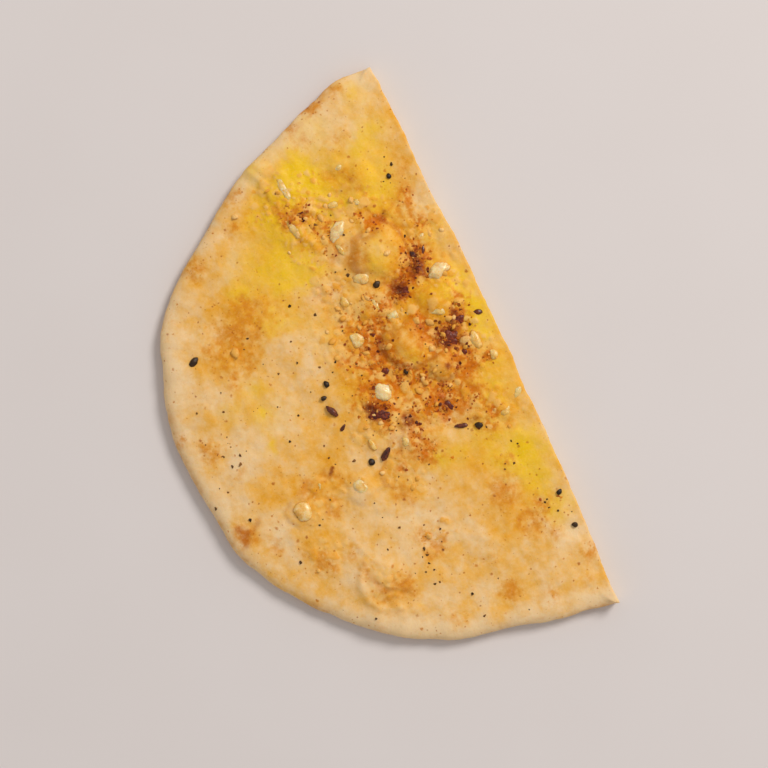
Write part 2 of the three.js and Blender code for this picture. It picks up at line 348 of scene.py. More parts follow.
glazeSpots = [  # oil and ground spice soaked into the dough, gold to orange
    (0, -18, 15, 0.55), (8, -35, 17, 0.8), (28, -36, 12, 0.7), (-12, -30, 14, 0.6), (-18, -42, 10, 0.5),
    (15, -15, 11, 0.6), (33, -16, 9, 0.35), (48, -14, 9, 0.4), (57, -12, 8, 0.7), (65, -8, 7, 0.5),
    (40, -40, 9, 0.5), (48, -31, 7, 0.6), (58, -26, 9, 0.4), (28, 23, 14, 0.68), (38, 16, 8, 0.62),
    (-10, -8, 9, 0.45), (-32, -33, 8, 0.35), (-45, -37, 8, 0.45), (33, 9, 8, 0.35), (-19, 18, 8, 0.35),
    (-27, 14, 6, 0.3), (62, 3, 7, 0.5), (57, 22, 6, 0.3), (7, 42, 7, 0.3), (-22, 42, 6, 0.4),
    (-40, 23, 7, 0.35), (-57, 10, 8, 0.3), (-52, -8, 7, 0.3), (-30, -6, 7, 0.35), (75, -46, 7, 0.3),
    (60, -47, 6, 0.4), (-73, -23, 5, 0.3), (86, -30, 5, 0.5), (-45, -6, 7, 0.4), (-42, -15, 8, 0.35),
    (-35, 6, 7, 0.35), (33, 4, 8, 0.35), (65, -25, 7, 0.5), (25, -8, 7, 0.3),
]
toastSpots = [
    (4.3, 42.8, 4.5, 0.6), (11, 49.5, 3, 0.6), (-42, 25.5, 5, 0.6), (-36, 29, 3.5, 0.4),
    (-19, 20.5, 4, 0.7), (-25, 15.5, 4, 0.5), (-17, 13, 2.6, 0.7), (-29, 17, 2.4, 0.5),
    (26, 26, 7.5, 0.32), (23, 20, 6, 0.25), (37.5, 24, 6, 0.32), (31, 17, 6, 0.3), (39, 15, 6.5, 0.4),
    (56, 23.5, 5, 0.6), (62, 7.5, 3.4, 0.5), (69, 4, 4, 0.45), (86.5, -29, 4.5, 0.8), (88, -37, 4, 0.4),
    (-58, 14, 4.5, 0.45), (-49, 15, 4, 0.4), (-58, 6, 4.5, 0.75), (-41, 16, 3.5, 0.4),
    (-52, -7, 5, 0.6), (-46, -5, 4, 0.5), (-32, -5, 5, 0.6), (-25, -17, 5, 0.65), (-72, -22, 4.5, 0.65),
    (-56, -36, 5, 0.6), (-45, -32, 5.5, 0.7), (-72, -49, 4, 0.65), (-12, -36, 6, 0.6),
    (-24, -38, 5, 0.5), (-19, -9, 5, 0.45), (-74, -4, 4, 0.3), (-61, -20, 5, 0.25), (-79, -33, 4, 0.4),
    (46, -41, 6, 0.5), (73, -33, 6, 0.3), (50, -25, 5, 0.4), (31, -12, 6, 0.4), (78, -22, 5, 0.3),
    (-6, 37, 4, 0.3), (66, 16, 4, 0.35), (-30, 36, 4, 0.3), (-62, -42, 4, 0.4), (84, -20, 4, 0.4),
    (38.5, -23, 5, 0.55), (60, -31, 6, 0.35), (-66, 22, 5, 0.2), (45, 38, 5, 0.2), (-12, 28, 4, 0.25),
    (-37, -37, 4, 0.5), (57, -47, 4, 0.5), (-79, -44, 3, 0.3), (63, -5, 5, 0.4), (-26, -45, 4, 0.3),
    (-24, 43.5, 5.5, 0.6), (-20, 10, 4, 0.4), (31, 31, 4, 0.35), (19, 28, 3.5, 0.3),
    (33, 21, 3.5, 0.35),
]
spiceSpots = [
    (-13, -9, 4.5, 0.3), (-8, -12, 5, 0.75), (0, -11, 6, 0.6), (8, -15.5, 6, 0.7), (15, -17, 6, 0.7),
    (22, -12, 5, 0.4), (1, -20, 4.5, 0.9), (-3, -25, 3.5, 0.85), (6, -34, 6, 0.95), (2, -39, 5, 0.7),
    (-4, -38, 4, 0.8), (12, -30, 5, 0.5), (24, -28, 4.6, 0.85), (27, -35, 5.5, 0.9),
    (32, -38, 4.5, 0.8), (-13, -28, 4.5, 0.8), (-8, -30, 3.5, 0.7), (45, -32, 3.5, 0.65),
    (49, -29, 3, 0.6), (52, -17, 4, 0.6), (57, -13, 4, 0.6), (-17, -16, 4, 0.5), (9, -42, 4, 0.7),
    (15, -44, 3, 0.5), (-25, -8, 4, 0.35), (40, -44, 4, 0.5), (-14, -36, 6, 0.5), (20, -22, 4, 0.6),
    (25, -20, 3, 0.6), (57, -8, 4, 0.5), (44, -16, 5, 0.35), (34, -8, 5, 0.25), (-53, -42, 5, 0.35),
    (50, -43, 4, 0.4), (-4, -45, 4, 0.5), (-10, -22, 5, 0.55), (-22, -40, 5, 0.4), (11, -8, 6, 0.35),
    (-3, -4, 6, 0.3), (-24, -17, 4, 0.5),
]
charSpots = [
    (5.5, -37, 4.2, 0.85), (23.5, -30, 3.8, 0.75), (-7, -7.5, 3.6, 0.5), (-13, -15, 3.4, 0.6),
    (28, -37, 3.6, 0.7), (12.5, -17, 2.6, 0.45), (8, -17.5, 2.2, 0.3), (-17, 12.5, 1.2, 0.6),
    (-3, -33, 2.0, 0.5), (-13, -28, 2.8, 0.5), (87, -28.5, 1.8, 0.5), (33, -38.5, 2.6, 0.5),
    (10, -41.5, 2.6, 0.6), (52.5, -15, 1.4, 0.5), (56, -12.5, 1.2, 0.5), (-21, -33, 2.2, 0.4),
    (0, -20, 1.8, 0.35), (-5, -6, 2.4, 0.5), (46, -35, 2.0, 0.35), (2, -40, 2.6, 0.3),
]
paleSpots = [
    (28, 43, 14, 0.6), (-35, 40, 12, 0.45), (-70, 10, 12, 0.4), (-80, -25, 10, 0.5),
    (-65, -30, 10, 0.35), (-45, 5, 10, 0.3), (10, 8, 14, 0.3), (33, -6, 8, 0.4), (70, 20, 9, 0.45),
    (-5, 15, 9, 0.25), (80, -5, 8, 0.3), (-36, -12, 9, 0.3), (-50, -20, 9, 0.3), (45, 33, 9, 0.45),
    (38, -27, 5.5, 0.3), (-70, -15, 4, 0.6), (-1, 33, 7, 0.3), (45, -46, 5, 0.6), (78, -33, 7, 0.3),
    (-78, -44, 9, 0.5), (-60, 20, 8, 0.3), (36.5, -31, 4.5, 0.8), (0, 47, 9, 0.3), (-66, -44, 7, 0.15),
    (76, -24, 6, 0.4), (50, 20, 6, 0.3), (47, 22, 9, 0.35), (-12, 20, 8, 0.3), (60, -46, 9, 0.35),
    (81, -45, 8, 0.45), (-45, -46, 6, 0.3), (-65, -35, 6, 0.3), (25, 34, 7, 0.3),
]

# Where small bits of garlic are baked in: x, y, radius, strength
bitPlaces = [
    (8, -14, 9, 0.5), (0, -22, 9, 0.5), (25, -14, 8, 0.9), (34, -14, 7, 0.6), (48, -12, 7, 0.9),
    (56, -14, 7, 1.0), (64, -12, 7, 0.6), (-10, -6, 8, 0.6), (-8, -30, 8, 0.7), (2, -42, 8, 0.8),
    (20, -44, 8, 0.8), (38, -44, 7, 0.7), (-24, 18, 8, 0.5), (-22, -2, 7, 0.4), (15, -4, 7, 0.5),
    (50, -24, 7, 0.7), (54, -30, 7, 0.6), (-20, -42, 7, 0.5), (-26, -10, 7, 0.5), (62, -4, 6, 0.6),
    (-48, -8, 6, 0.4), (18, -24, 7, 0.8), (-14, -20, 7, 0.6), (30, -30, 9, 0.5), (70, -8, 5, 0.5),
    (-38, 24, 6, 0.4), (28, 24, 8, 0.35), (-52, 12, 7, 0.35), (10, -34, 8, 0.7),
]

# Marks with a shape of their own, darker than the toasted patches: line, half width, strength
scorchLines = [
    ([(-26.5, 45), (-24.5, 44.5), (-23, 43), (-21, 45)], 1.7, 0.75),
    ([(-23, 43), (-23.5, 41), (-21, 38.5)], 1.5, 0.5),
    ([(-60, 6), (-57, 7.5), (-56, 4)], 0.9, 0.4),
    ([(-64, 7), (-64, 13), (-61, 18)], 1.0, 0.3),
    ([(-58, 9), (-56, 13), (-50, 15.5), (-46, 14.5)], 1.1, 0.45),
    ([(-28.5, 23), (-28.5, 27), (-25.5, 30), (-21.5, 29.5), (-19.8, 26), (-20.5, 23)], 1.0, 0.35),
    ([(27.7, -33), (26.8, -28), (29, -22.5), (33, -20.5), (38, -21)], 1.5, 0.4),
    ([(34, -37.5), (41, -37), (46, -33), (51, -31)], 0.9, 0.6),
    ([(1, -31), (1, -25), (3, -20), (8, -17.8), (14, -19)], 1.1, 0.6),
    ([(-7, -29), (-6.5, -34), (-3, -37)], 1.0, 0.6),
    ([(57, -9), (60, -6.5), (66, -5.5), (70, -8), (73, -11)], 1.1, 0.35),
    ([(48, -8), (51, -9), (56, -7), (58, -3)], 1.1, 0.4),
    ([(-29.5, -3), (-27, -1), (-24, -1.5), (-21, -4)], 0.9, 0.45),
    ([(58, -17), (56, -20), (53, -24)], 1.0, 0.5),
    ([(86, -24), (87.5, -28), (88, -32)], 1.1, 0.5),
    ([(-23, -8), (-19, -10), (-15, -13)], 1.1, 0.4),
]


def cadShape():
    mesh = cadNodes[breadNode].data
    points = [v.co / toMetres for v in mesh.vertices]
    return BVHTree.FromPolygons(points, [list(p.vertices) for p in mesh.polygons])


def traceOutline(shape, count=2600, far=200, heights=(1.7, 2.2, 2.7, 3.2)):
    # widest line of the crust, seen from the middle of the half
    line = []
    for k in range(count):
        angle = 2 * math.pi * k / count
        out = Vector((math.cos(angle), math.sin(angle), 0))
        hits = [shape.ray_cast(out * far + Vector((0, 0, h)), -out, far)[0] for h in heights]
        line.append(max((Vector(h.xy) for h in hits if h is not None), key=lambda v: v.length))
    return np.array(line)


def splitOutline(line):
    # the crust from the right tip round to the left tip, and the cut back again
    rightTip = int(np.argmax(line[:, 0] - 1.2 * line[:, 1]))
    leftTip = int(np.argmax(-line[:, 0] - 1.2 * line[:, 1]))
    turned = np.roll(line, -rightTip, axis=0)
    leftTip = (leftTip - rightTip) % len(line)
    closed = np.vstack((turned, turned[:1]))
    return closed[:leftTip + 1], closed[leftTip:]


def shakeLine(line, waves, step):
    # an uneven edge, still at both ends
    run = np.gradient(line, axis=0)
    side = np.column_stack((run[:, 1], -run[:, 0]))
    side /= np.linalg.norm(side, axis=1)[:, None]
    along = np.arange(len(line)) * step
    still = easeBetween(along, 0, 6) * easeBetween(along[::-1], 0, 6)
    return line + side * (ripples(line, waves) * still)[:, None]


def softenGrid(grid, width):
    span = int(4.5 * width)
    kernel = np.exp(-0.5 * (np.arange(-span, span + 1) / width) ** 2)
    for axis in (0, 1):
        grid = np.apply_along_axis(lambda row: np.convolve(row, kernel, mode="same"), axis, grid)
    return grid


def skinGrid(shape, crustLine, cutLine):
    # the solid's top as a smoothed grid of heights, a millimetre apart, carried on past its edges
    low = np.array(bread["gridCorner"])
    size = bread["gridSize"]
    places = low + np.array([(i, j) for j, i in np.ndindex(size)])
    usable = distancesTo(crustLine, places) >= bread["skinMargin"]
    usable &= places[:, 1] >= cutLine[:, 1].min() + bread["cutMargin"]
    height = np.zeros(len(places))
    known = np.zeros(len(places))
    for k in np.flatnonzero(usable):
        hit = shape.ray_cast(Vector((*places[k], overhead)), Vector((0, 0, -1)))[0]
        if hit is not None:
            height[k] = hit.z
            known[k] = 1
    soft, share = (softenGrid(v.reshape(size), bread["skinSmoothing"]) for v in (height, known))
    return low, soft / np.maximum(share, 1e-9)


def skinHeight(skin, places):
    low, grid = skin
    spot = places[:, :2] - low
    cell = np.clip(np.floor(spot).astype(int), 0, np.array(grid.shape[::-1]) - 2)
    part = spot - cell
    i, j = cell.T
    left = grid[j, i] * (1 - part[:, 1]) + grid[j + 1, i] * part[:, 1]
    right = grid[j, i + 1] * (1 - part[:, 1]) + grid[j + 1, i + 1] * part[:, 1]
    return left * (1 - part[:, 0]) + right * part[:, 0]


def toppingSpots(kind):
    # middle and half size of every topping of one kind
    spots = []
    for name in sorted(cadNodes):
        if name.startswith(kind):
            low, high = (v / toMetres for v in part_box(name))
            spots.append(((low.x + high.x) / 2, (low.y + high.y) / 2, (high.xy - low.xy).length / 2))
    return spots


def lumpField(at, size, seed):
    # a pavement of uneven lumps: how far each place is inside its lump, and that lump's own chance
    dice = np.random.RandomState(seed)
    jitter = dice.uniform(0.05, 0.95, (64, 64, 2))
    chance = dice.uniform(size=(64, 64))
    spot = at / size
    home = np.floor(spot).astype(int)
    nearest = np.full(len(at), 9.0)
    second = np.full(len(at), 9.0)
    luck = np.zeros(len(at))
    for step in np.ndindex(3, 3):
        cell = home + step - 1
        i, j = (cell % 64).T
        away = np.linalg.norm(cell + jitter[i, j] - spot, axis=1)
        second = np.minimum(second, np.maximum(away, nearest))
        luck = np.where(away < nearest, chance[i, j], luck)
        nearest = np.minimum(nearest, away)
    return second - nearest, luck


def blisterReach(places):
    # how far each place is from each blister's middle, in its radii; the outlines are pulled out of round
    at = places[:, :2] + 2.8 * wander(places, 9, 45) + 1.0 * wander(places, 3.5, 47)
    return [np.hypot(at[:, 0] - x, at[:, 1] - y) / radius for x, y, radius, _ in blisters]


def mincedGarlic(places):
    # soft lumps of garlic baked into the skin: height over it, share of cover, and a shade for each lump
    at = places[:, :2]
    strewn = spotField(at, bitPlaces, warp=2.5, seed=175)
    for away, blister in zip(blisterReach(places), blisters):  # the high blisters stay smooth
        strewn *= 1 - min(1, blister[3] / 1.6) * (1 - easeBetween(away, 0.5, 0.9))
    rise = np.zeros(len(at))
    cover = np.zeros(len(at))
    shade = np.zeros(len(at))
    for size, high, seed in bread["minced"]:
        inside, luck = lumpField(at + 0.5 * wander(at, 1.8, 173), size, seed)
        body = easeBetween(inside, 0.05, 0.55) * easeBetween(strewn * 0.9 - luck, 0, 0.1)
        tall = high * (0.45 + 0.8 * ((luck * 17) % 1))
        shade = np.where(tall * body > rise, (luck * 31) % 1, shade)
        rise = np.maximum(rise, tall * body)
        cover = np.maximum(cover, body)
    return rise, cover, shade


def skinDetail(places):
    # everything finer than the solid: blisters, wrinkles, lumps, and dough drawn up round the garlic
    at = places[:, :2]
    warped = at + 1.1 * wander(at, 5, 41) + 0.44 * wander(at, 2, 43)
    rise = ripples(at, bread["skinWaves"])
    for away, blister in zip(blisterReach(places), blisters):
        rise += blister[3] * np.clip(1 - (away / 1.12) ** 2, 0, None) ** 1.5
    for line, width, height in wrinkles:
        rise += height * np.exp(-(lineDistance(warped, line) / width) ** 2)
    # the spiced part is crumbly: ridged lumps with creases between them
    lumps = sum(amount * (0.6 - 2 * np.abs(rippleNoise(warped, size, seed)))
                for size, amount, seed in bread["crumbLumps"])
    rise += lumps * spotField(places, spiceSpots)
    rise += mincedGarlic(places)[0]
    collar, dip = bread["garlicCollar"]
    for x, y, radius in toppingSpots("garlic_piece"):
        away = np.hypot(warped[:, 0] - x, warped[:, 1] - y)
        rise += collar * np.exp(-(away / (radius + 0.4)) ** 3)
        rise -= dip * np.exp(-((away - radius - 1.4) / 0.9) ** 2)
    return rise


def sideProfile():
    # rings from the top edge to the bottom edge: inset and share of the height, on crust and on cut
    rings = []
    turn = 0.6  # share of the rings above the belly
    belly = bread["bellyShare"]
    for t in np.arange(bread["sideRings"]) / (bread["sideRings"] - 1):
        if t < turn:
            angle = 0.5 * math.pi * t / turn
            inset = bread["crustInset"] * (1 - math.sin(angle) ** 0.92)
            share = belly + (1 - belly) * math.cos(angle) ** 0.9
        else:
            angle = 0.5 * math.pi * (t - turn) / (1 - turn)
            inset = bread["underInset"] * (1 - math.cos(angle))
            share = belly * (1 - math.sin(angle))
        bevel = bread["cutBevel"] * max(0, 1 - min(t, 1 - t) / 0.08) ** 1.5
        rings.append(((inset, share), (bevel, 1 - t), t))
    return rings


def crumbCells(along, level, high):
    # depth of the open cells in the cut face, at a place along the cut and a height
    dice = np.random.RandomState(77)
    depth = np.zeros(len(along))
    length = along.max()
    for k in range(bread["pores"]):
        middle = dice.uniform(1, length - 1)
        flat = k % 6 == 0  # some are long, flat pockets
        wide = dice.uniform(2.5, 7) if flat else dice.uniform(0.4, 1.7)
        tall = dice.uniform(0.4, 0.9) if flat else dice.uniform(0.25, 0.7)
        share = dice.uniform(0.3, 0.7) if flat else dice.uniform(0.12, 0.9)
        deep = dice.uniform(0.35, 1.3)
        away = ((along - middle) / wide) ** 2 + ((level - share * high) / tall) ** 2
        depth = np.maximum(depth, deep * np.sqrt(np.clip(1 - away, 0, None)))
    return depth


def hexPlaces(low, high, step):
    rows = np.arange(low[1], high[1], step * math.sqrt(0.75))
    columns = np.arange(low[0], high[0], step)
    x, y = np.meshgrid(columns, rows)
    x = x + 0.5 * step * (np.arange(len(rows)) % 2)[:, None]
    return np.column_stack((x.ravel(), y.ravel()))


def fillSheet(loop, step, seed):
    # a triangle mesh that fills the closed loop, with even points inside
    places = hexPlaces(loop.min(0), loop.max(0), step)
    inside = np.zeros(len(places), bool)
    x1, y1 = loop.T
    x2, y2 = np.roll(loop, -1, axis=0).T
    batch = 4000
    for start in range(0, len(places), batch):
        px, py = places[start:start + batch].T
        over = (y1 > py[:, None]) != (y2 > py[:, None])
        cross = x1 + (py[:, None] - y1) * (x2 - x1) / np.where(y2 == y1, 1e-9, y2 - y1)
        inside[start:start + batch] = np.sum(over & (px[:, None] < cross), axis=1) % 2 == 1
    places = places[inside & (distancesTo(loop, places) > bread["sheetGap"] * step)]
    dice = np.random.RandomState(seed)
    shake = bread["sheetShake"]
    places = places + dice.uniform(-shake, shake, places.shape) * step
    count = len(loop)
    edges = [(k, (k + 1) % count) for k in range(count)]
    corners = [Vector(p) for p in np.vstack((loop, places))]
    points, _, faces, *_ = delaunay_2d_cdt(corners, edges, [], 1, 1e-7)  # 1: only what is inside the loop
    return np.array(points), [tuple(f) for f in faces]


def inwardNormals(loop):
    # level normals into the loop, evened out so that the insets don't cross
    run = np.roll(loop, -2, axis=0) - np.roll(loop, 2, axis=0)
    inward = np.column_stack((-run[:, 1], run[:, 0]))
    inward /= np.linalg.norm(inward, axis=1)[:, None]
    for _ in range(12):
        inward[1:-1] = 0.25 * inward[:-2] + 0.5 * inward[1:-1] + 0.25 * inward[2:]
        inward /= np.linalg.norm(inward, axis=1)[:, None]
    return inward


def sideRings(loop, cutFirst, inward, crustShare, edgeHeight, rings):
    # the side, ring by ring, from under the top edge to over the bottom edge
    alongCut = np.concatenate(([0], np.cumsum(np.hypot(*np.diff(loop[cutFirst:], axis=0).T))))
    still = easeBetween(np.minimum(alongCut, alongCut[::-1]), 0, 3)
    side = []
    for crust, cut, t in rings:
        inset, share = (crustShare * a + (1 - crustShare) * b for a, b in zip(crust, cut))
        place = np.column_stack((loop + inward * inset[:, None], edgeHeight * share))
        push = -ripples(place, bread["crustSwell"]) * math.sin(math.pi * t) ** 0.6
        place[:, :2] += inward * (push * crustShare)[:, None]
        # the torn crumb of the cut face
        face = place[cutFirst:]
        pits = crumbCells(alongCut, face[:, 2], edgeHeight[cutFirst:]) + ripples(face, bread["tear"])
        pits += bread["cutRetreat"]
        depth = pits * easeBetween(min(t, 1 - t), 0.03, 0.14) * still
        face[:, :2] += inward[cutFirst:] * depth[:, None]
        side.append(place)
    return side


def maskSkin(mesh, points, aboveUnder, onTop):
    # what the material paints on the skin, one value for each point
    inBlister, blisterShadeSide, scorch = np.zeros((3, len(points)))
    for away, (x, y, radius, height) in zip(blisterReach(points), blisters[:6]):
        inside = np.clip(1 - away ** 2, 0, 1)
        inBlister = np.maximum(inBlister, inside)
        # painted shade: a brown band round the edge of each tall blister, only on the side turned away from
        # the light
        ring = easeBetween(inside, 0, 0.3) * (1 - easeBetween(inside, 0.4, 0.85))
        awayFromLight = easeBetween((0.6 * (points[:, 0] - x) + 0.8 * (points[:, 1] - y)) / radius, -0.6, 0.6)
        blisterShadeSide = np.maximum(blisterShadeSide, ring * awayFromLight * easeBetween(height, 0.8, 1.4))
    spice = spotField(points, spiceSpots) * (1 - 0.6 * inBlister)
    for line, width, strength in scorchLines:
        away = lineDistance(points[:, :2] + 0.7 * wander(points, 3, 141), line) / width
        scorch = np.maximum(scorch, strength * np.exp(-away ** 2))
    _, cover, shade = mincedGarlic(points)
    masks = {
        "butter": spotField(points, butterSpots, warp=2.2, seed=103),
        "toast": spotField(points, toastSpots, seed=113),
        "glaze": spotField(points, glazeSpots, warp=2.4, seed=143),
        "char": spotField(points, charSpots, warp=1.2, seed=123),
        "pale": spotField(points, paleSpots, seed=133),
        "spice": spice,
        "scorch": scorch,
        # painted shade on the side of the tall blisters turned away from the light
        "dome": blisterShadeSide,
        "bits": cover,
    }
    for name, values in masks.items():
        floatLayer(mesh, name, values * aboveUnder)
    floatLayer(mesh, "bitShade", shade)
    floatLayer(mesh, "spiceGrains", spice * onTop)


def makeBread():
    shape = cadShape()
    crustLine, cutLine = splitOutline(traceOutline(shape))
    crustLine = smoothLine(evenLine(crustLine, bread["crustStep"]), 3)
    cutLine = smoothLine(evenLine(cutLine, bread["cutStep"]), 4)
    skin = skinGrid(shape, crustLine, cutLine)
    crustLine = shakeLine(crustLine, bread["crustWaves"], bread["crustStep"])
    cutLine = shakeLine(cutLine, bread["cutWaves"], bread["cutStep"])
    print("outline traced:", len(crustLine), "places on the crust,", len(cutLine), "on the cut")

    loop = np.vstack((crustLine, cutLine[1:-1]))
    count = len(loop)
    cutFirst = len(crustLine)
    inward = inwardNormals(loop)
    alongCrust = np.arange(cutFirst) * bread["crustStep"]
    fromTip = np.minimum(alongCrust, alongCrust[::-1])
    crustShare = np.concatenate((easeBetween(fromTip, 0, bread["tipBlend"]), np.zeros(count - cutFirst)))
    rings = sideProfile()
    topLoop, underLoop = (loop + inward * (crustShare * crust[0] + (1 - crustShare) * cut[0])[:, None]
                          for crust, cut, _ in (rings[0], rings[-1]))
    topPlaces, topFaces = fillSheet(topLoop, bread["topStep"], 5)
    underPlaces, underFaces = fillSheet(underLoop, bread["underStep"], 6)

    topHeight = skinHeight(skin, topPlaces) + skinDetail(topPlaces)
    top = np.column_stack((topPlaces, topHeight))
    side = sideRings(loop, cutFirst, inward, crustShare, topHeight[:count], rings[1:-1])
    under = np.column_stack((underPlaces, np.zeros(len(underPlaces))))
    lift = rippleNoise(under, 14, 71) * 0.6 + rippleNoise(under, 5, 72) * 0.4
    fromEdge = distancesTo(underLoop, underPlaces)
    under[:, 2] = bread["underRise"] * np.clip(lift + 0.1, 0, 1) * easeBetween(fromEdge, 1, 7)

    points = np.vstack([top] + side + [under])
    underStart = len(top) + len(side) * count
    starts = [0] + [len(top) + k * count for k in range(len(side))] + [underStart]
    faces = list(topFaces)
    for above, below in zip(starts[:-1], starts[1:]):
        for k in range(count):
            n = (k + 1) % count
            faces.append((above + k, below + k, below + n, above + n))
    faces += [tuple(underStart + v for v in reversed(f)) for f in underFaces]
    mesh = bpy.data.meshes.new("naan_bread")
    mesh.from_pydata([tuple(p) for p in points * toMetres], [], faces)
    mesh.validate()
    mesh.update()
    mesh.shade_smooth()
    triangles = sum(len(p.vertices) - 2 for p in mesh.polygons)
    print("bread mesh:", len(mesh.vertices), "points,", triangles, "triangles")

    # where the side shows crumb, and where it turns under
    crumb, below = np.zeros((2, len(points)))
    below[underStart:] = 1
    cutShare = 1 - crustShare
    cutShare[:cutFirst] = 0
    for start, (crust, cut, t) in zip(starts[1:-1], rings[1:-1]):
        share = crustShare * crust[1] + (1 - crustShare) * cut[1]
        crumb[start:start + count] = cutShare * easeBetween(min(t, 1 - t) * 7.5, 0.35, 0.9)
        below[start:start + count] = easeBetween(1 - share, 0.72, 1.0) * (1 - cutShare)
    floatLayer(mesh, "crumb", crumb)
    floatLayer(mesh, "under", below)
    floatLayer(mesh, "rim", 1 - easeBetween(distancesTo(crustLine, points), 0, 9))
    maskSkin(mesh, points, 1 - below, np.arange(len(points)) < len(top))
    return newPiece("naan_bread", mesh)


doughPaint = {
    # from the palest dough to dough soaked with butter and spice
    "ramp": [(0.0, "f0cd9a"), (0.25, "eec283"), (0.5, "ecb45c"), (0.75, "e9a636"), (1.0, "df9212")],
    "toast": "d88824",
    "toastDeep": "b86018",
    "butter": "efc000",
    "butterPale": "f0be2e",
    "soaked": "dc860a",
    "spice": "d06e04",
    "spiceDeep": "953400",
    "scorch": "b0560c",
    "char": "4c1004",
    "charHalo": "8e3606",
    "bits": "eebb68",
    "bitsGold": "e69c24",
    # painted shade on the side of the tall blisters turned away from the light
    "dome": "c87c1c",
    "crumb": "f6e6c2",
    "crumbShade": "eccb92",
    "crustTan": "cf8f44",
    "floury": "f3cf9a",
    "underRamp": [(0.64, "efcb98"), (0.80, "dfa860"), (0.91, "b87a3a"), (1.0, "7c4218")],
    "flour": "f6e8cf",
    "freckle": "a04a10",
    "freckles": [(1.25, 0.07, 0.8), (2.1, 0.035, 0.8), (0.75, 0.06, 0.55)],  # size, how many, how dark
}


def underPaint(tree, place, grain):
    # where the bread lay on the oven floor: patches browned by contact, with darker hearts, and flour
    contact = mottle(tree, place, 13, 5.0, 0.55, shift=21.0)
    heat = addUp(tree, contact, (mottle(tree, place, 4.5, 4.0, 0.6, shift=23.0), 0.55))
    tone = toneRamp(tree, heat, doughPaint["underRamp"])
    flour = addUp(tree, mottle(tree, place, 7, 5.0, 0.7, shift=25.0), (grain, 0.25))
    return blendPaint(tree, spread(tree, flour, 0.6, 0.85, 0, 0.6), tone, doughPaint["flour"])


